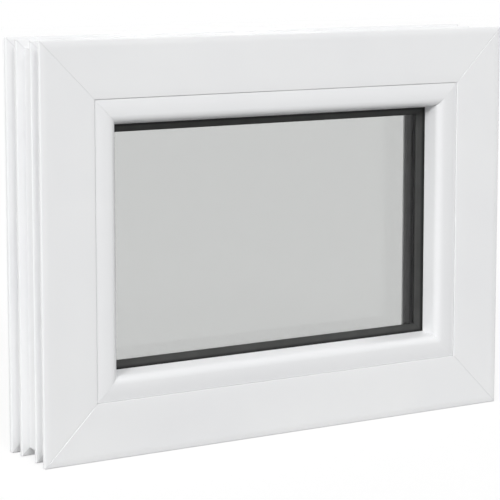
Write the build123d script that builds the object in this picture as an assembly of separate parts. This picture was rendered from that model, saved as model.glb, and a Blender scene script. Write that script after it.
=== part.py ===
"""A fixed basement window of white hollow plastic profiles with a sealed double-glazed unit.

The frame is four mitred lengths of one profile. The glass sits on two packers in the rebate, between
a gasket on the frame's outer lip and a gasket on the snap-in glazing beads of the room side.

Every profile is drawn once as a section with two coordinates, in millimetres:
  depth  from the room face (0) to the weather face (FRAME_DEPTH)
  inset  from the outer edge of the window (0) towards the middle of the glass
The window stands on its lower edge: X runs along its width, Y from the room side to the weather side,
and Z is up. The origin is the middle of the lower edge.
"""

import math
import os

from build123d import *

# Overall sizes
WIDTH = 400.0
HEIGHT = 300.0
FRAME_DEPTH = 58.0

# Frame profile: walls
FACE_WALL = 3.0  # room-side wall, which runs out to the outer edge as a flange
BACK_WALL = 3.0
BACK_FLANGE = 4.0  # the weather wall's thicker run-out at the outer edge
SKIN = 2.5  # walls along the outer channels and the rebate
WEB = 1.6  # walls between chambers
FACE_WIDTH = 42.0  # room face, from the outer edge to the bead joint
LIP_HEIGHT = 60.5  # outer edge to the tip of the weather-side glazing lip

# Frame profile: the room face rolls back a little towards the outer edge and the bead joint
EDGE_ROLL_WIDTH = 5.5
EDGE_ROLL_DROP = 0.6
JOINT_ROLL_WIDTH = 8.0
JOINT_ROLL_DROP = 0.25

# Frame profile: rounding of the visible edges
EDGE_ROUND = 1.2
FLANGE_ROUND = 0.5
JOINT_ROUND = 0.4
BACK_ROUND = 1.5
RIB_ROUND = 1.0
LIP_ROUND = 1.0
CORNER_ROUND = 2.2  # outer corners of the welded frame, as they are cleaned after welding
CORNER_START = 0.1  # the rounding meets the outer edges at a slight angle, this far outside its own tangents

# Weld seams: the shallow groove that cleaning leaves along each mitre of the frame
SEAM_WIDTH = 0.8
SEAM_DEPTH = 0.22

# Frame profile: open channels along the outer edge, parted by two ribs
CHANNEL_DEPTH = 7.0
RIB_SETBACK = 1.0
FRONT_RIB_AT = 16.0
FRONT_RIB = 2.5
REAR_RIB_AT = 39.0
REAR_RIB = 3.2
RIB_DRAFT = 0.9  # a rib is this much wider at its root, on each side

# Frame profile: rebate and glazing lip
FACE_TONGUE = 2.0  # the room face stands this far above the rebate floor, in front of the bead's heel
LIP_TIP = 1.6
LIP_SLOPE_START = 50.0

# Glazing: a 4-16-4 unit between two gaskets
PANE = 4.0
CAVITY = 16.0
BEAD_GASKET = 4.5
LIP_GASKET = 3.0
SPACER_HEIGHT = 7.0
SPACER_WALL = 0.8
SPACER_SEAM = 1.2
SPACER_SEAM_DEPTH = 0.4
EDGE_SEAL = 5.0

# Glazing bead
BEAD_DEPTH = 15.5  # room face to the back of the bead
BEAD_CROWN_SETBACK = 0.3
BEAD_CROWN_AT = 51.0
BEAD_CROWN_ROUND = 50.0  # the bead's front is slightly convex
BEAD_ROUND = 6.0  # rounding from the front into the side that faces the glass
BEAD_SIDE_SLOPE = 10.0  # degrees by which that side leans
BEAD_JOINT_ROUND = 0.4
BEAD_JOINT_GAP = 0.12
BEAD_MITRE_GAP = 0.06  # the beads are cut and pushed in, so their mitres stay open by a hair
BEAD_SIGHT = 61.5  # outer edge to the bead's edge at the glass
BEAD_SKIN = 1.9
BEAD_FOOT = 2.6
BEAD_FOOT_AT = 9.3
BEAD_FOOT_LENGTH = 3.6
BEAD_BARB = 0.7
BEAD_BARB_LENGTH = 1.6

# Gaskets
GASKET_ROOT = 2.2
GASKET_ROOT_DEPTH = 2.8
BEAD_GASKET_TIP = 67.5
BEAD_GASKET_NOSE = 1.3
BEAD_GASKET_STEP = 0.7  # the lip starts this far behind the bead, which leaves a shadow line
BEAD_GASKET_ROOT_AT = 56.4
LIP_GASKET_TIP = 61.0
LIP_GASKET_ROOT_AT = 53.0
GASKET_HEEL = 1.2

# Glazing packers
PACKER_LENGTH = 60.0
PACKER_HEIGHT = 3.5
PACKER_FROM_END = 30.0

# Drainage of the lower frame member
DRAIN_LENGTH = 28.0
DRAIN_HEIGHT = 5.0
DRAIN_FROM_END = 85.0
DRAIN_INSET = 17.0
INLET_WIDTH = 3.0

# Fits
FIT = 0.3  # play between a bead or gasket root and its groove

# Places that follow from the sizes above
REBATE_FLOOR = FACE_WIDTH - FACE_TONGUE
GLASS_FRONT = BEAD_DEPTH + BEAD_GASKET
REAR_PANE_AT = GLASS_FRONT + PANE + CAVITY
GLASS_BACK = REAR_PANE_AT + PANE
LIP_AT = GLASS_BACK + LIP_GASKET
PANE_EDGE = REBATE_FLOOR + PACKER_HEIGHT
SPACER_AT = PANE_EDGE + EDGE_SEAL
CHANNEL_SKIN = CHANNEL_DEPTH + SKIN
FOOT_GROOVE_FLOOR = REBATE_FLOOR - BEAD_FOOT_LENGTH - FIT
MITRE_REACH = min(WIDTH, HEIGHT) / 2
SIDES = {
    "bottom": (WIDTH, HEIGHT, 0),
    "left": (HEIGHT, WIDTH, 90),
    "top": (WIDTH, HEIGHT, 180),
    "right": (HEIGHT, WIDTH, -90),
}
FRAME_NAMES = {
    "bottom": "frame_sill",
    "left": "frame_jamb_left",
    "top": "frame_head",
    "right": "frame_jamb_right",
}


def block(depth_from, depth_to, inset_from, inset_to):
    """A rectangle of a section, between two depths and two insets."""
    centre = Pos((depth_from + depth_to) / 2, (inset_from + inset_to) / 2)
    return centre * Rectangle(depth_to - depth_from, inset_to - inset_from)


def outline(*curves):
    """A closed section from curves that follow each other."""
    return make_face(Curve() + list(curves))


def polygon(*points):
    """A section with straight sides through the points."""
    return make_face(Polyline(*points, close=True))


def front_wall():
    """The room-side wall: its face rolls back softly towards the outer edge and the bead joint."""
    wall = outline(
        Polyline((FACE_WALL, FACE_WIDTH), (FACE_WALL, 0), (EDGE_ROLL_DROP, 0)),
        TangentArc((0, EDGE_ROLL_WIDTH), (EDGE_ROLL_DROP, 0), tangent=(0, -1)),
        Line((0, EDGE_ROLL_WIDTH), (0, FACE_WIDTH - JOINT_ROLL_WIDTH)),
        TangentArc((0, FACE_WIDTH - JOINT_ROLL_WIDTH), (JOINT_ROLL_DROP, FACE_WIDTH), tangent=(0, 1)),
        Line((JOINT_ROLL_DROP, FACE_WIDTH), (FACE_WALL, FACE_WIDTH)),
    )
    wall = fillet(wall.vertices().group_by(Axis.Y)[0].sort_by(Axis.X)[0], EDGE_ROUND)
    wall = fillet(wall.vertices().group_by(Axis.Y)[0].sort_by(Axis.X)[-1], FLANGE_ROUND)
    return fillet(wall.vertices().group_by(Axis.Y)[-1].sort_by(Axis.X)[0], JOINT_ROUND)


def glazing_lip():
    """The weather-side lip that the glass is pressed against, with a sloped outer face that sheds water."""
    lip = polygon(
        (LIP_AT, REBATE_FLOOR - SKIN),
        (LIP_AT, LIP_HEIGHT),
        (LIP_AT + LIP_TIP, LIP_HEIGHT),
        (FRAME_DEPTH, LIP_SLOPE_START),
        (FRAME_DEPTH, REBATE_FLOOR - SKIN),
    )
    return fillet(lip.vertices().group_by(Axis.Y)[-1].sort_by(Axis.X)[-1], LIP_ROUND)


def lip_chamber():
    """The small chamber inside the glazing lip, a wall's thickness from the lip's faces."""
    low = REBATE_FLOOR + SKIN
    front = LIP_AT + SKIN
    back = FRAME_DEPTH - BACK_WALL
    top = LIP_GASKET_ROOT_AT - SKIN
    shoulder = LIP_SLOPE_START - SKIN / 2
    slope = (FRAME_DEPTH - LIP_AT - LIP_TIP) / (LIP_HEIGHT - LIP_SLOPE_START)
    back_at_top = back - slope * (top - shoulder)
    return polygon((front, low), (back, low), (back, shoulder), (back_at_top, top), (front, top))


def chambers():
    """The three hollow chambers of the frame profile, from the room side to the weather side."""
    inner = REBATE_FLOOR - SKIN
    room = block(FACE_WALL, FRONT_RIB_AT, CHANNEL_SKIN, FOOT_GROOVE_FLOOR - WEB)
    middle = block(FRONT_RIB_AT + WEB, REAR_RIB_AT, CHANNEL_SKIN, inner)
    weather = block(REAR_RIB_AT + WEB, FRAME_DEPTH - BACK_WALL, CHANNEL_SKIN, inner)
    return room + middle + weather + lip_chamber()


def bead_groove():
    """The undercut groove in the rebate floor that the beads snap into."""
    mouth = block(BEAD_FOOT_AT - FIT, BEAD_FOOT_AT + BEAD_FOOT + FIT, FOOT_GROOVE_FLOOR, REBATE_FLOOR)
    barb_top = REBATE_FLOOR - BEAD_FOOT_LENGTH + BEAD_BARB_LENGTH + FIT
    undercut = block(BEAD_FOOT_AT - BEAD_BARB - FIT, BEAD_FOOT_AT, FOOT_GROOVE_FLOOR, barb_top)
    return mouth + undercut


def frame_section():
    """The frame profile: a chambered body with ribs and flanges on its outer edge and a lip for the glass."""
    body = block(0, FRAME_DEPTH, CHANNEL_DEPTH, REBATE_FLOOR) - block(0, FACE_WALL, 0, REBATE_FLOOR)
    edge_zone = block(0, FRAME_DEPTH, 0, CHANNEL_DEPTH)
    back_flange = rib(FRAME_DEPTH - BACK_FLANGE, FRAME_DEPTH, 0, BACK_ROUND) & edge_zone
    front_rib = rib(FRONT_RIB_AT, FRONT_RIB_AT + FRONT_RIB, RIB_SETBACK, RIB_ROUND)
    rear_rib = rib(REAR_RIB_AT, REAR_RIB_AT + REAR_RIB, RIB_SETBACK, RIB_ROUND)
    solid = body + front_wall() + glazing_lip() + back_flange + front_rib + rear_rib
    return solid - chambers() - bead_groove() - gasket_root(LIP_AT, LIP_GASKET_ROOT_AT, FIT)


def rib(depth_from, depth_to, inset, tip_round):
    """A tapered rib of the outer edge, from the channel floor out to that inset, with a rounded tip."""
    plain = polygon(
        (depth_from, inset),
        (depth_to, inset),
        (depth_to + RIB_DRAFT, CHANNEL_DEPTH),
        (depth_from - RIB_DRAFT, CHANNEL_DEPTH),
    )
    return fillet(plain.vertices().group_by(Axis.Y)[0], tip_round)


def gasket_root(depth, inset, play):
    """The root of a gasket, or its groove where there is play, going into a wall at that depth and inset."""
    ahead = GASKET_ROOT_DEPTH if depth == LIP_AT else -GASKET_ROOT_DEPTH
    near, far = sorted((depth, depth + ahead + math.copysign(play, ahead)))
    return block(near, far, inset - play, inset + GASKET_ROOT + play)


def bead_section():
    """The hollow glazing bead, with a slightly convex front and a barbed foot for the frame's groove."""
    joint = FACE_WIDTH + BEAD_JOINT_GAP
    heel = FACE_WALL + FIT
    side_at_front = BEAD_SIGHT - BEAD_DEPTH * math.tan(math.radians(BEAD_SIDE_SLOPE))
    blank = polygon(
        (0, joint),
        (0, side_at_front),
        (BEAD_DEPTH, BEAD_SIGHT),
        (BEAD_DEPTH, REBATE_FLOOR),
        (heel, REBATE_FLOOR),
        (heel, joint),
    )
    shell = blank & bead_front(0)
    front_edges = shell.vertices().sort_by(Axis.X)[:2].sort_by(Axis.Y)
    shell = fillet(front_edges[1], BEAD_ROUND)
    shell = fillet(shell.vertices().sort_by(Axis.X)[0:2].sort_by(Axis.Y)[0], BEAD_JOINT_ROUND)
    foot_tip = REBATE_FLOOR - BEAD_FOOT_LENGTH
    foot = polygon(
        (BEAD_FOOT_AT + BEAD_FOOT, REBATE_FLOOR),
        (BEAD_FOOT_AT + BEAD_FOOT, foot_tip),
        (BEAD_FOOT_AT, foot_tip),
        (BEAD_FOOT_AT - BEAD_BARB, foot_tip + BEAD_BARB_LENGTH),
        (BEAD_FOOT_AT, foot_tip + BEAD_BARB_LENGTH),
        (BEAD_FOOT_AT, REBATE_FLOOR),
    )
    return shell + foot - bead_chamber() - gasket_root(BEAD_DEPTH, BEAD_GASKET_ROOT_AT, FIT)


def bead_front(inside):
    """The disc whose edge is the bead's convex front, or runs that far inside it."""
    return Pos(BEAD_CROWN_SETBACK + BEAD_CROWN_ROUND, BEAD_CROWN_AT) * Circle(BEAD_CROWN_ROUND - inside)


def bead_chamber():
    """The hollow of the bead, which stays a wall's thickness from its front, back, heel and gasket groove."""
    back = BEAD_DEPTH - BEAD_SKIN
    low = REBATE_FLOOR + BEAD_SKIN
    shoulder = FACE_WIDTH + BEAD_JOINT_GAP + BEAD_SKIN
    top = BEAD_GASKET_ROOT_AT - FIT - BEAD_SKIN
    behind_front = block(0, back, shoulder, top) & bead_front(BEAD_SKIN)
    above_foot = block(FACE_WALL + FIT + BEAD_SKIN, back, low, shoulder)
    return behind_front + above_foot


def bead_gasket_section():
    """The room-side gasket: a root in the bead and a sloped lip that runs down to the glass."""
    heel = BEAD_GASKET_ROOT_AT - GASKET_HEEL
    shoulder = BEAD_SIGHT - BEAD_GASKET_STEP
    lip = polygon(
        (BEAD_DEPTH, heel),
        (BEAD_DEPTH, shoulder - BEAD_GASKET_STEP),
        (BEAD_DEPTH + BEAD_GASKET_STEP, shoulder),
        (GLASS_FRONT - BEAD_GASKET_NOSE, BEAD_GASKET_TIP),
        (GLASS_FRONT, BEAD_GASKET_TIP),
        (GLASS_FRONT, heel),
    )
    nose = lip.vertices().group_by(Axis.Y)[-1].sort_by(Axis.X)[0]
    return fillet(nose, BEAD_GASKET_NOSE) + gasket_root(BEAD_DEPTH, BEAD_GASKET_ROOT_AT, 0)


def lip_gasket_section():
    """The weather-side gasket between the frame's lip and the glass."""
    heel = LIP_GASKET_ROOT_AT - GASKET_HEEL
    lip = polygon(
        (LIP_AT, heel),
        (GLASS_BACK, heel),
        (GLASS_BACK, LIP_GASKET_TIP),
        (GLASS_BACK + LIP_GASKET / 2, LIP_GASKET_TIP),
        (LIP_AT, LIP_HEIGHT - LIP_ROUND),
    )
    return lip + gasket_root(LIP_AT, LIP_GASKET_ROOT_AT, 0)


def spacer_section():
    """The hollow spacer bar between the panes, with a shallow seam along the face that shows."""
    front = GLASS_FRONT + PANE
    top = SPACER_AT + SPACER_HEIGHT
    middle = front + CAVITY / 2
    bar = block(front, front + CAVITY, SPACER_AT, top)
    hollow = block(
        front + SPACER_WALL,
        front + CAVITY - SPACER_WALL,
        SPACER_AT + SPACER_WALL,
        top - 2 * SPACER_WALL,
    )
    seam = block(middle - SPACER_SEAM / 2, middle + SPACER_SEAM / 2, top - SPACER_SEAM_DEPTH, top)
    return bar - hollow - seam


def bar_along(section, run, mitre_gap):
    """A bar of the section along X, mitred at 45 degrees at both ends, with its outer edge at height 0.

    Each mitre face stands back from the corner's diagonal by half of the gap.
    """
    start = Plane(origin=(-run / 2, -FRAME_DEPTH / 2, 0), x_dir=(0, 1, 0), z_dir=(1, 0, 0))
    end = run / 2 - mitre_gap / math.sqrt(2)
    inner = end - MITRE_REACH
    mitre = Polygon((-end, 0), (end, 0), (inner, MITRE_REACH), (-inner, MITRE_REACH), align=None)
    return extrude(start * section, amount=run) & extrude(Plane.XZ * mitre, amount=FRAME_DEPTH, both=True)


def on_side(bar, across, turn):
    """A bar that was made along the lower edge, turned to its side of the window."""
    return Pos(0, 0, HEIGHT / 2) * Rot(0, turn, 0) * Pos(0, 0, -across / 2) * bar


def ring_of_bars(section, mitre_gap=0.0):
    """The four mitred bars of one section, by side."""
    return {
        side: on_side(bar_along(section, run, mitre_gap), across, turn)
        for side, (run, across, turn) in SIDES.items()
    }


def seam_cutter(x_side, z_side, depth, inset_from, inset_to):
    """A V-shaped cutter along one corner's mitre, on the room face (depth 0) or the weather face."""
    inwards = 1 if depth == 0 else -1
    corner = Vector(x_side * WIDTH / 2, depth - FRAME_DEPTH / 2, HEIGHT / 2 + z_side * HEIGHT / 2)
    along = Vector(-x_side, 0, -z_side)
    into = Vector(0, inwards, 0)
    place = Plane(origin=corner + along * inset_from, x_dir=into.cross(along), z_dir=along)
    vee = Polygon((-SEAM_WIDTH, -SEAM_DEPTH), (SEAM_WIDTH, -SEAM_DEPTH), (0, SEAM_DEPTH), align=None)
    return extrude(place * vee, amount=(inset_to - inset_from) * math.sqrt(2))


def weld_seams():
    """The cleaned weld seams of all four corners, on the flat of the room face and of the weather face."""
    cutters = []
    for x_side in (-1, 1):
        for z_side in (-1, 1):
            cutters.append(seam_cutter(x_side, z_side, 0, EDGE_ROLL_WIDTH / 2, FACE_WIDTH))
            cutters.append(seam_cutter(x_side, z_side, FRAME_DEPTH, BACK_ROUND, LIP_SLOPE_START))
    return cutters


def welded_frame():
    """The four frame members, with rounded outer corners and cleaned weld seams."""
    width = WIDTH + 2 * CORNER_START
    height = HEIGHT + 2 * CORNER_START
    cleaned = Plane.XZ * Pos(0, HEIGHT / 2) * RectangleRounded(width, height, CORNER_ROUND)
    outline_block = extrude(cleaned, amount=FRAME_DEPTH, both=True)
    seams = weld_seams()
    bars = ring_of_bars(frame_section())
    return {FRAME_NAMES[side]: (bar & outline_block) - seams for side, bar in bars.items()}


def pane(depth):
    """One sheet of glass whose front face is at that depth."""
    place = Pos(0, depth + PANE / 2 - FRAME_DEPTH / 2, HEIGHT / 2)
    return place * Box(WIDTH - 2 * PANE_EDGE, PANE, HEIGHT - 2 * PANE_EDGE)


def packer(side):
    """A packer under the glass, towards the left (-1) or right (1) end of the lower rebate."""
    x = side * (WIDTH / 2 - PANE_EDGE - PACKER_FROM_END - PACKER_LENGTH / 2)
    y = (GLASS_FRONT + GLASS_BACK - FRAME_DEPTH) / 2
    z = REBATE_FLOOR + PACKER_HEIGHT / 2
    return Pos(x, y, z) * Box(PACKER_LENGTH, GLASS_BACK - GLASS_FRONT, PACKER_HEIGHT)


def drain_places():
    """The left and right positions of the drain slots along the lower frame member."""
    return [side * (WIDTH / 2 - DRAIN_FROM_END) for side in (-1, 1)]


def drain_slot(x):
    """A slot through the weather wall of the lower member, and its inlet in the rebate floor behind it."""
    outlet = Plane.XZ * Pos(x, DRAIN_INSET) * SlotOverall(DRAIN_LENGTH, DRAIN_HEIGHT)
    wall_middle = FRAME_DEPTH / 2 - BACK_WALL / 2
    through_wall = Pos(0, wall_middle, 0) * extrude(outlet, amount=BACK_WALL, both=True)
    inlet_depth = (REAR_RIB_AT + WEB + LIP_AT - FRAME_DEPTH) / 2
    inlet = Plane.XY * Pos(x, inlet_depth) * SlotOverall(DRAIN_LENGTH, INLET_WIDTH)
    through_floor = Pos(0, 0, REBATE_FLOOR - SKIN / 2) * extrude(inlet, amount=SKIN, both=True)
    return through_wall + through_floor


def build():
    """Every piece of the window, by name."""
    pieces = welded_frame()
    for x in drain_places():
        pieces["frame_sill"] -= drain_slot(x)
    rings = {
        "glazing_bead": bead_section(),
        "bead_gasket": bead_gasket_section(),
        "lip_gasket": lip_gasket_section(),
        "spacer": spacer_section(),
    }
    for name, section in rings.items():
        gap = BEAD_MITRE_GAP if name == "glazing_bead" else 0.0
        for side, bar in ring_of_bars(section, gap).items():
            pieces[f"{name}_{side}"] = bar
    pieces["room_pane"] = pane(GLASS_FRONT)
    pieces["weather_pane"] = pane(REAR_PANE_AT)
    pieces["packer_left"] = packer(-1)
    pieces["packer_right"] = packer(1)
    return pieces


os.makedirs("parts", exist_ok=True)
for node, shape in build().items():
    export_step(shape, f"parts/{node}.step")
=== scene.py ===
"""Dresses the fixed basement window and sets it in a plain white studio.

The window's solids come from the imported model. Each sub-assembly below knows its own pieces and gives
them their finish. All lengths are in metres: X along the window's width, Y from the room side to the
weather side, and Z up.
"""

import logging
import math
from dataclasses import dataclass
from enum import Enum
from typing import Any

import bpy
from mathutils import Euler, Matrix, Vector


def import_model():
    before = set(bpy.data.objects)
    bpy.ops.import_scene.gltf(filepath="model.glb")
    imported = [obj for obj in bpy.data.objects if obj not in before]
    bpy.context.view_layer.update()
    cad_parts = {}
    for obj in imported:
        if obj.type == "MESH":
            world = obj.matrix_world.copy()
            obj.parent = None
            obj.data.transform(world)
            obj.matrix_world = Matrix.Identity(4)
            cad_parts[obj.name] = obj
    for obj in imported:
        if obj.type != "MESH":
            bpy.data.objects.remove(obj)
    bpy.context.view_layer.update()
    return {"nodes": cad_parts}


LOG = logging.getLogger("basement_window")

# Outer size of the window
WIDTH = 0.4
HEIGHT = 0.3

# Noise values at the dark and the light end of a pattern
NOISE_DARK = 0.3
NOISE_LIGHT = 0.7

WHITE = (1.0, 1.0, 1.0, 1.0)

Colour = tuple[float, float, float]
Point = tuple[float, float, float]


class Run(Enum):
    """The direction in which a length of profile was extruded."""

    ACROSS = "across"
    UPRIGHT = "upright"

    def stretch(self, along: float, athwart: float) -> Point:
        """Gives texture scales that draw a pattern out along the profile.

        Args:
            along: Scale in the direction of the profile.
            athwart: Scale in the two directions across it.

        Returns:
            The scales along X, Y and Z.
        """
        if self is Run.ACROSS:
            return (along, athwart, athwart)
        return (athwart, athwart, along)

    @property
    def span(self) -> tuple[str, float, float]:
        """The axis across the profile, with the window's middle and half size along it."""
        return ("Z", HEIGHT / 2, HEIGHT / 2) if self is Run.ACROSS else ("X", 0.0, WIDTH / 2)


class Side(Enum):
    """A side of the window, seen from the room."""

    TOP = "top"
    BOTTOM = "bottom"
    LEFT = "left"
    RIGHT = "right"

    @property
    def run(self) -> Run:
        """The direction of the profiles on this side."""
        return Run.ACROSS if self in (Side.TOP, Side.BOTTOM) else Run.UPRIGHT


class NodeBoard:
    """The node tree of one material, with a surface shader wired to its output."""

    def __init__(self, name: str) -> None:
        """Starts an empty material.

        Args:
            name: The material's name.
        """
        self.material = bpy.data.materials.new(name)
        self.material.use_nodes = True
        self.tree = self.material.node_tree
        self.tree.nodes.clear()
        self.output = self.add("ShaderNodeOutputMaterial")

    def add(self, kind: str, values: dict[str, Any] | None = None, **settings: Any) -> bpy.types.Node:
        """Adds a node.

        Args:
            kind: Blender's type name of the node.
            values: Input values, by socket name.
            **settings: Properties of the node itself.

        Returns:
            The new node.
        """
        node = self.tree.nodes.new(kind)
        for key, value in settings.items():
            setattr(node, key, value)
        for key, value in (values or {}).items():
            node.inputs[key].default_value = value
        return node

    def join(self, source: bpy.types.Node, outlet: str, target: bpy.types.Node, inlet: str) -> None:
        """Wires an output to an input, both by socket name."""
        self.tree.links.new(source.outputs[outlet], target.inputs[inlet])

    def math(self, operation: str, *terms: bpy.types.NodeSocket | float) -> bpy.types.NodeSocket:
        """Adds a calculation.

        Args:
            operation: Blender's name of the operation.
            *terms: The outputs or plain numbers that it works on.

        Returns:
            The output that holds the result.
        """
        node = self.add("ShaderNodeMath", operation=operation)
        for inlet, term in zip(node.inputs, terms):
            if isinstance(term, bpy.types.NodeSocket):
                self.tree.links.new(term, inlet)
            else:
                inlet.default_value = term
        return node.outputs["Value"]

    def place(self, axis: str) -> bpy.types.NodeSocket:
        """Gives the coordinate of a surface point along one axis.

        Args:
            axis: X, Y or Z.

        Returns:
            The output that holds the coordinate.
        """
        coords = self.add("ShaderNodeTexCoord")
        parts = self.add("ShaderNodeSeparateXYZ")
        self.join(coords, "Object", parts, "Vector")
        return parts.outputs[axis]

    def inset(self, run: Run) -> bpy.types.NodeSocket:
        """Measures how far a surface point lies inside the window's outer edge.

        Args:
            run: The direction of the profile.

        Returns:
            The output that holds the distance.
        """
        axis, middle, half = run.span
        from_middle = self.math("ABSOLUTE", self.math("SUBTRACT", self.place(axis), middle))
        return self.math("SUBTRACT", half, from_middle)

    def ramp(self, value: bpy.types.NodeSocket, start: float, end: float) -> bpy.types.NodeSocket:
        """Turns a measure into a smooth rise from 0 to 1.

        Args:
            value: The output that holds the measure.
            start: The measure where the rise starts.
            end: The measure where it ends.

        Returns:
            The output that holds the rise.
        """
        ranger = self.add(
            "ShaderNodeMapRange", {"From Min": start, "From Max": end}, interpolation_type="SMOOTHSTEP"
        )
        self.tree.links.new(value, ranger.inputs["Value"])
        return ranger.outputs["Result"]

    def shade_over(self, amount: bpy.types.NodeSocket, colour: Colour, target: bpy.types.Node) -> None:
        """Lays a second colour over the one that a shader already has.

        Args:
            amount: The output that says how much of it shows, from 0 to 1.
            colour: The second colour.
            target: The surface shader.
        """
        under = target.inputs["Base Color"].links[0].from_socket
        blend = self.add("ShaderNodeMixRGB", {"Color2": (*colour, 1.0)})
        self.tree.links.new(amount, blend.inputs["Fac"])
        self.tree.links.new(under, blend.inputs["Color1"])
        self.join(blend, "Color", target, "Base Color")

    def surface(self, values: dict[str, Any]) -> bpy.types.Node:
        """Adds the surface shader and wires it to the output.

        Args:
            values: Input values of the shader, by socket name.

        Returns:
            The shader node.
        """
        shader = self.add("ShaderNodeBsdfPrincipled", values)
        self.join(shader, "BSDF", self.output, "Surface")
        return shader

    def noise(self, scale: Point, detail: float = 2.0) -> bpy.types.Node:
        """Adds a noise pattern laid out in the window's own metres.

        Args:
            scale: Pattern cells per metre along X, Y and Z.
            detail: Octaves of finer noise.

        Returns:
            The noise node.
        """
        coords = self.add("ShaderNodeTexCoord")
        mapping = self.add("ShaderNodeMapping", {"Scale": scale})
        pattern = self.add("ShaderNodeTexNoise", {"Scale": 1.0, "Detail": detail})
        self.join(coords, "Object", mapping, "Vector")
        self.join(mapping, "Vector", pattern, "Vector")
        return pattern

    def spread(
        self, pattern: bpy.types.Node, low: float, high: float, target: bpy.types.Node, inlet: str
    ) -> None:
        """Maps a noise pattern to a range of values on an input.

        Args:
            pattern: The noise node.
            low: Value at the pattern's dark end.
            high: Value at the pattern's light end.
            target: The node that takes the value.
            inlet: Its input's name.
        """
        limits = {"From Min": NOISE_DARK, "From Max": NOISE_LIGHT, "To Min": low, "To Max": high}
        ranger = self.add("ShaderNodeMapRange", limits)
        self.join(pattern, "Fac", ranger, "Value")
        self.join(ranger, "Result", target, inlet)

    def tint(self, pattern: bpy.types.Node, dark: Colour, light: Colour, target: bpy.types.Node) -> None:
        """Lets a pattern drift the base colour between two shades.

        Args:
            pattern: The noise node.
            dark: Colour at the pattern's dark end.
            light: Colour at the pattern's light end.
            target: The surface shader.
        """
        ramp = self.add("ShaderNodeValToRGB")
        ends = ((NOISE_DARK, dark), (NOISE_LIGHT, light))
        for stop, (value, colour) in zip(ramp.color_ramp.elements, ends):
            stop.position = value
            stop.color = (*colour, 1.0)
        self.join(pattern, "Fac", ramp, "Fac")
        self.join(ramp, "Color", target, "Base Color")

    def relief(self, pattern: bpy.types.Node, height: float, target: bpy.types.Node) -> None:
        """Lets a pattern raise the surface.

        Args:
            pattern: The noise node.
            height: Height of the relief in metres.
            target: The surface shader.
        """
        bump = self.add("ShaderNodeBump", {"Strength": 1.0, "Distance": height})
        self.join(pattern, "Fac", bump, "Height")
        self.join(bump, "Normal", target, "Normal")


@dataclass(frozen=True)
class WhiteProfile:
    """Smooth white extruded plastic with faint die lines along its length.

    Along the mitre where lengths are welded, a duller colour can be painted on as shade, which tones
    down the light that the welded V-groove catches. It is given as the distances from the mitre at which
    that painted shade starts and is full.
    """

    name: str = "white_profile"
    shade: Colour = (0.865, 0.87, 0.88)
    light: Colour = (0.89, 0.895, 0.90)
    drift_scale: float = 14.0
    # Band and colour of the painted shade along the mitre
    painted_mitre_band: tuple[float, float] | None = None
    painted_mitre_shade: Colour = (0.81, 0.815, 0.825)
    roughness: tuple[float, float] = (0.32, 0.40)
    ior: float = 1.53
    line_scales: tuple[float, float] = (4.0, 700.0)
    line_detail: float = 3.0
    line_height: float = 0.000012

    def material(self, run: Run) -> bpy.types.Material:
        """Makes the finish for profiles of one direction.

        Args:
            run: The direction of the profile.

        Returns:
            The material.
        """
        board = NodeBoard(f"{self.name}_{run.value}")
        shader = board.surface({"IOR": self.ior})
        board.tint(board.noise((self.drift_scale,) * 3), self.shade, self.light, shader)
        # Painted shade along the mitre, which dulls the light on the welded groove
        if self.painted_mitre_band:
            from_mitre = board.math("SUBTRACT", board.inset(Run.ACROSS), board.inset(Run.UPRIGHT))
            painted_mitre_mask = board.ramp(board.math("ABSOLUTE", from_mitre), *self.painted_mitre_band)
            board.shade_over(painted_mitre_mask, self.painted_mitre_shade, shader)
        lines = board.noise(run.stretch(*self.line_scales), self.line_detail)
        board.spread(lines, *self.roughness, shader, "Roughness")
        board.relief(lines, self.line_height, shader)
        return board.material


@dataclass(frozen=True)
class BlackRubber:
    """Matt black gasket rubber, drawn out lengthwise, with a slightly dusty bloom.

    Where a gasket comes out from under a bead, a darker black is painted along it beside the bead as
    painted shadow. That band is given as the distances from the window's outer edge at which the painted
    shadow starts and is full.
    """

    name: str
    shade: Colour = (0.042, 0.043, 0.042)
    light: Colour = (0.056, 0.057, 0.056)
    bloom_scale: float = 60.0
    bloom_detail: float = 4.0
    # Band and colour of the painted shadow beside the bead
    painted_bead_shadow_band: tuple[float, float] | None = None
    painted_bead_shadow: Colour = (0.011, 0.011, 0.011)
    roughness: tuple[float, float] = (0.55, 0.7)
    specular_level: float = 0.2
    line_scales: tuple[float, float] = (6.0, 1100.0)
    line_height: float = 0.00004

    def material(self, run: Run) -> bpy.types.Material:
        """Makes the finish for gaskets of one direction.

        Args:
            run: The direction of the gasket.

        Returns:
            The material.
        """
        board = NodeBoard(f"{self.name}_{run.value}")
        shader = board.surface({"Specular IOR Level": self.specular_level})
        bloom = board.noise((self.bloom_scale,) * 3, self.bloom_detail)
        board.tint(bloom, self.shade, self.light, shader)
        # Painted shadow along the gasket beside the bead
        if self.painted_bead_shadow_band:
            board.shade_over(board.ramp(board.inset(run), *self.painted_bead_shadow_band), self.painted_bead_shadow, shader)
        lines = board.noise(run.stretch(*self.line_scales))
        board.spread(lines, *self.roughness, shader, "Roughness")
        board.relief(lines, self.line_height, shader)
        return board.material


@dataclass(frozen=True)
class ClearGlass:
    """Clear float glass with a slight grey tone and the faint waviness of its making."""

    name: str = "clear_glass"
    tone: Colour = (0.752, 0.757, 0.753)
    ior: float = 1.46
    wave_scale: float = 9.0
    wave_height: float = 0.000002

    def material(self) -> bpy.types.Material:
        """Makes the finish.

        Returns:
            The material.
        """
        board = NodeBoard(self.name)
        tone = (*self.tone, 1.0)
        shader = board.surface(
            {"Base Color": tone, "Roughness": 0.0, "IOR": self.ior, "Transmission Weight": 1.0}
        )
        waves = board.noise((self.wave_scale,) * 3, detail=0.0)
        board.relief(waves, self.wave_height, shader)
        return board.material


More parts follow.
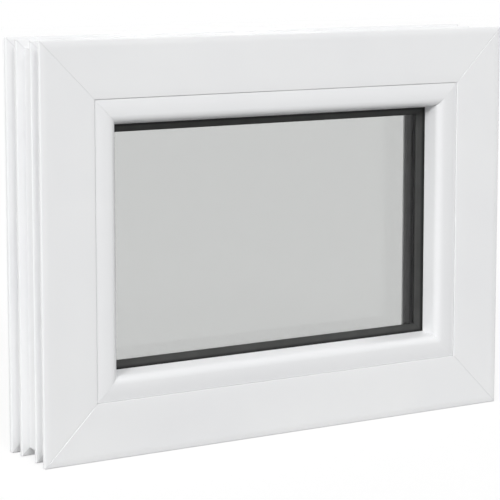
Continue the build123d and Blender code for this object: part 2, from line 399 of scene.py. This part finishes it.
@dataclass(frozen=True)
class SpacerBar:
    """Matt dark grey spacer bar."""

    name: str = "spacer_bar"
    shade: Colour = (0.034, 0.034, 0.035)
    light: Colour = (0.046, 0.047, 0.047)
    roughness: tuple[float, float] = (0.4, 0.5)
    ior: float = 1.5
    line_scales: tuple[float, float] = (10.0, 900.0)

    def material(self, run: Run) -> bpy.types.Material:
        """Makes the finish for bars of one direction.

        Args:
            run: The direction of the bar.

        Returns:
            The material.
        """
        board = NodeBoard(f"{self.name}_{run.value}")
        shader = board.surface({"IOR": self.ior})
        lines = board.noise(run.stretch(*self.line_scales))
        board.tint(lines, self.shade, self.light, shader)
        board.spread(lines, *self.roughness, shader, "Roughness")
        return board.material


@dataclass(frozen=True)
class PackerPlastic:
    """Plain moulded plastic of the glazing packers."""

    name: str = "packer_plastic"
    shade: Colour = (0.05, 0.11, 0.30)
    light: Colour = (0.06, 0.13, 0.34)
    roughness: float = 0.5
    grain_scale: float = 400.0
    grain_height: float = 0.00002

    def material(self) -> bpy.types.Material:
        """Makes the finish.

        Returns:
            The material.
        """
        board = NodeBoard(self.name)
        shader = board.surface({"Roughness": self.roughness})
        grain = board.noise((self.grain_scale,) * 3)
        board.tint(grain, self.shade, self.light, shader)
        board.relief(grain, self.grain_height, shader)
        return board.material


# The frame's mitres get the painted shade
FRAME_WHITE = WhiteProfile(painted_mitre_band=(0.0008, 0.0005))
# The beads' white is a little darker than the frame's: painted shade that tones down the light on their
# rounded faces
SHADED_BEAD_WHITE = WhiteProfile(
    name="white_bead",
    shade=(0.846, 0.852, 0.864),
    light=(0.868, 0.874, 0.882),
    roughness=(0.42, 0.5),
)
# The bead gaskets get the painted shadow beside the beads
BEAD_RUBBER = BlackRubber("bead_gasket_rubber", painted_bead_shadow_band=(0.0641, 0.062))
LIP_RUBBER = BlackRubber("lip_gasket_rubber")
FRAME_NAMES = {
    Side.TOP: "frame_head",
    Side.BOTTOM: "frame_sill",
    Side.LEFT: "frame_jamb_left",
    Side.RIGHT: "frame_jamb_right",
}


@dataclass
class ProfileRing:
    """Four lengths of one profile round the window, one on each side."""

    stem: str
    finish: WhiteProfile | BlackRubber | SpacerBar
    names: dict[Side, str] | None = None

    def node_name(self, side: Side) -> str:
        """The name of the piece on a side."""
        return self.names[side] if self.names else f"{self.stem}_{side.value}"

    def dress(self, nodes: dict[str, bpy.types.Object]) -> None:
        """Gives each length the finish for its direction.

        Args:
            nodes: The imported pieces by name.
        """
        finishes = {run: self.finish.material(run) for run in Run}
        for side in Side:
            put_on(nodes[self.node_name(side)], finishes[side.run])


@dataclass
class GlassUnit:
    """The sealed unit: two panes on a ring of spacer bars, standing on two packers."""

    panes: tuple[str, str] = ("room_pane", "weather_pane")
    packers: tuple[str, str] = ("packer_left", "packer_right")
    glass: ClearGlass = ClearGlass()
    bar: SpacerBar = SpacerBar()
    packer: PackerPlastic = PackerPlastic()

    def dress(self, nodes: dict[str, bpy.types.Object]) -> None:
        """Gives the panes, the spacer bars and the packers their finishes.

        Args:
            nodes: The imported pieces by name.
        """
        glass = self.glass.material()
        for name in self.panes:
            put_on(nodes[name], glass)
        ProfileRing("spacer", self.bar).dress(nodes)
        plastic = self.packer.material()
        for name in self.packers:
            put_on(nodes[name], plastic)


@dataclass(frozen=True)
class SoftSun:
    """A distant lamp that lights the whole window evenly, with more or less soft shadows."""

    name: str
    towards: Point
    strength: float
    softness: float

    def build(self) -> None:
        """Adds the lamp to the scene."""
        data = bpy.data.lights.new(self.name, "SUN")
        data.energy = self.strength
        data.angle = math.radians(self.softness)
        lamp = bpy.data.objects.new(self.name, data)
        lamp.location = self.towards
        lamp.rotation_mode = "QUATERNION"
        lamp.rotation_quaternion = (-Vector(self.towards)).to_track_quat("-Z", "Y")
        bpy.context.scene.collection.objects.link(lamp)


@dataclass(frozen=True)
class GlassGlow:
    """Daylight that the panes let through low down, onto the side of the lower bead.

    It is a flat lamp before the room pane that shines into the room and is not seen itself. A lamp faces
    down until it is turned about X.
    """

    name: str = "glass_glow"
    middle: Point = (-0.02, -0.0094, 0.087)
    turn: float = -90.0
    width: float = 0.22
    height: float = 0.035
    power: float = 0.02

    def build(self) -> None:
        """Adds the lamp to the scene."""
        data = bpy.data.lights.new(self.name, "AREA")
        data.shape = "RECTANGLE"
        data.size = self.width
        data.size_y = self.height
        data.energy = self.power
        lamp = bpy.data.objects.new(self.name, data)
        lamp.location = self.middle
        lamp.rotation_euler = Euler((math.radians(self.turn), 0.0, 0.0), "XYZ")
        lamp.visible_camera = False
        lamp.visible_glossy = False
        lamp.visible_transmission = False
        bpy.context.scene.collection.objects.link(lamp)


@dataclass
class Studio:
    """A white floor and surround, the lamps, and the camera of the photograph."""

    floor_half: float = 6.0
    floor_grey: float = 0.35
    floor_glow_share: float = 0.8
    floor_glow_strength: float = 1.04
    ambient: float = 0.37
    camera_place: Point = (-0.8071, -1.2819, 0.3728)
    camera_yaw: float = 31.77
    camera_pitch: float = 7.49
    camera_lens: float = 146.33
    camera_sensor: float = 36.0
    camera_shift: float = -0.1
    lamps: tuple[SoftSun, ...] = (
        SoftSun("key_sun", (-0.8, -0.5, 0.39), 1.257, 14.0),
        SoftSun("front_sun", (-0.1, -0.4, 0.24), 0.83, 12.0),
        SoftSun("upper_sun", (0.0, -0.5, 0.85), 0.12, 60.0),
        SoftSun("left_sun", (-1.0, 0.0, 0.15), 0.785, 60.0),
        SoftSun("right_sun", (0.7, -0.7, 0.2), 0.471, 60.0),
        SoftSun("back_sun", (0.25, 1.0, 0.12), 0.6, 90.0),
        SoftSun("rear_sun", (0.6, 1.0, 0.0), 1.35, 10.0),
    )
    glass_glow: GlassGlow = GlassGlow()

    def build(self) -> None:
        """Builds the floor, the surround, the lamps and the camera."""
        self.build_floor()
        self.build_surround()
        for lamp in (*self.lamps, self.glass_glow):
            lamp.build()
        self.build_camera()

    def build_floor(self) -> None:
        """Lays the floor: white with a shadow to the eye, and grey in the light that it throws back."""
        half = self.floor_half
        mesh = bpy.data.meshes.new("floor")
        corners = [(-half, -half, 0.0), (half, -half, 0.0), (half, half, 0.0), (-half, half, 0.0)]
        mesh.from_pydata(corners, [], [(0, 1, 2, 3)])
        floor = bpy.data.objects.new("floor", mesh)
        bpy.context.scene.collection.objects.link(floor)
        board = NodeBoard("pale_floor")
        grey = (self.floor_grey,) * 3 + (1.0,)
        plain = board.add("ShaderNodeBsdfDiffuse", {"Color": grey})
        bright = board.add("ShaderNodeBsdfDiffuse", {"Color": WHITE})
        glow = board.add("ShaderNodeEmission", {"Strength": self.floor_glow_strength})
        seen = board.add("ShaderNodeMixShader", {"Fac": self.floor_glow_share})
        board.tree.links.new(bright.outputs["BSDF"], seen.inputs[1])
        board.tree.links.new(glow.outputs["Emission"], seen.inputs[2])
        chosen = board.add("ShaderNodeMixShader")
        board.tree.links.new(seen_rays(board.tree), chosen.inputs["Fac"])
        board.tree.links.new(plain.outputs["BSDF"], chosen.inputs[1])
        board.tree.links.new(seen.outputs["Shader"], chosen.inputs[2])
        board.join(chosen, "Shader", board.output, "Surface")
        put_on(floor, board.material)

    def build_surround(self) -> None:
        """Makes the surround: white where it is seen, and a softer level where it lights the window."""
        world = bpy.data.worlds.new("surround")
        bpy.context.scene.world = world
        world.use_nodes = True
        tree = world.node_tree
        tree.nodes.clear()
        output = tree.nodes.new("ShaderNodeOutputWorld")
        light = tree.nodes.new("ShaderNodeBackground")
        light.inputs["Strength"].default_value = self.ambient
        white = tree.nodes.new("ShaderNodeBackground")
        white.inputs["Strength"].default_value = 1.0
        for node in (light, white):
            node.inputs["Color"].default_value = WHITE
        chosen = tree.nodes.new("ShaderNodeMixShader")
        tree.links.new(seen_rays(tree), chosen.inputs["Fac"])
        tree.links.new(light.outputs["Background"], chosen.inputs[1])
        tree.links.new(white.outputs["Background"], chosen.inputs[2])
        tree.links.new(chosen.outputs["Shader"], output.inputs["Surface"])

    def build_camera(self) -> None:
        """Sets the camera where the photograph was taken from."""
        data = bpy.data.cameras.new("photo_camera")
        data.sensor_width = self.camera_sensor
        data.lens = self.camera_lens
        data.shift_y = self.camera_shift
        camera = bpy.data.objects.new("photo_camera", data)
        camera.location = self.camera_place
        turn = (math.radians(90.0 - self.camera_pitch), 0.0, math.radians(-self.camera_yaw))
        camera.rotation_euler = Euler(turn, "XYZ")
        bpy.context.scene.collection.objects.link(camera)
        bpy.context.scene.camera = camera


def seen_rays(tree: bpy.types.NodeTree) -> bpy.types.NodeSocket:
    """Adds a test for rays that show a surface to the eye, directly, in a reflection or through glass.

    Args:
        tree: The node tree to add it to.

    Returns:
        An output that is 1 for such rays and 0 for the rest.
    """
    path = tree.nodes.new("ShaderNodeLightPath")
    total = path.outputs["Is Camera Ray"]
    for kind in ("Is Glossy Ray", "Is Transmission Ray"):
        larger = tree.nodes.new("ShaderNodeMath")
        larger.operation = "MAXIMUM"
        tree.links.new(total, larger.inputs[0])
        tree.links.new(path.outputs[kind], larger.inputs[1])
        total = larger.outputs["Value"]
    return total


def put_on(piece: bpy.types.Object, material: bpy.types.Material) -> None:
    """Gives a piece one material all over and logs it.

    Args:
        piece: The object to dress.
        material: Its finish.
    """
    piece.data.materials.clear()
    piece.data.materials.append(material)
    LOG.info("%s has finish %s", piece.name, material.name)


def main() -> None:
    """Loads the window, dresses its sub-assemblies and sets up the studio."""
    logging.basicConfig(level=logging.INFO, format="%(name)s: %(message)s")
    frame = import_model()
    nodes = frame["nodes"]
    bpy.context.scene.view_settings.view_transform = "Standard"
    ProfileRing("frame", FRAME_WHITE, FRAME_NAMES).dress(nodes)
    ProfileRing("glazing_bead", SHADED_BEAD_WHITE).dress(nodes)
    ProfileRing("bead_gasket", BEAD_RUBBER).dress(nodes)
    ProfileRing("lip_gasket", LIP_RUBBER).dress(nodes)
    GlassUnit().dress(nodes)
    Studio().build()


if __name__ == "__main__":
    main()
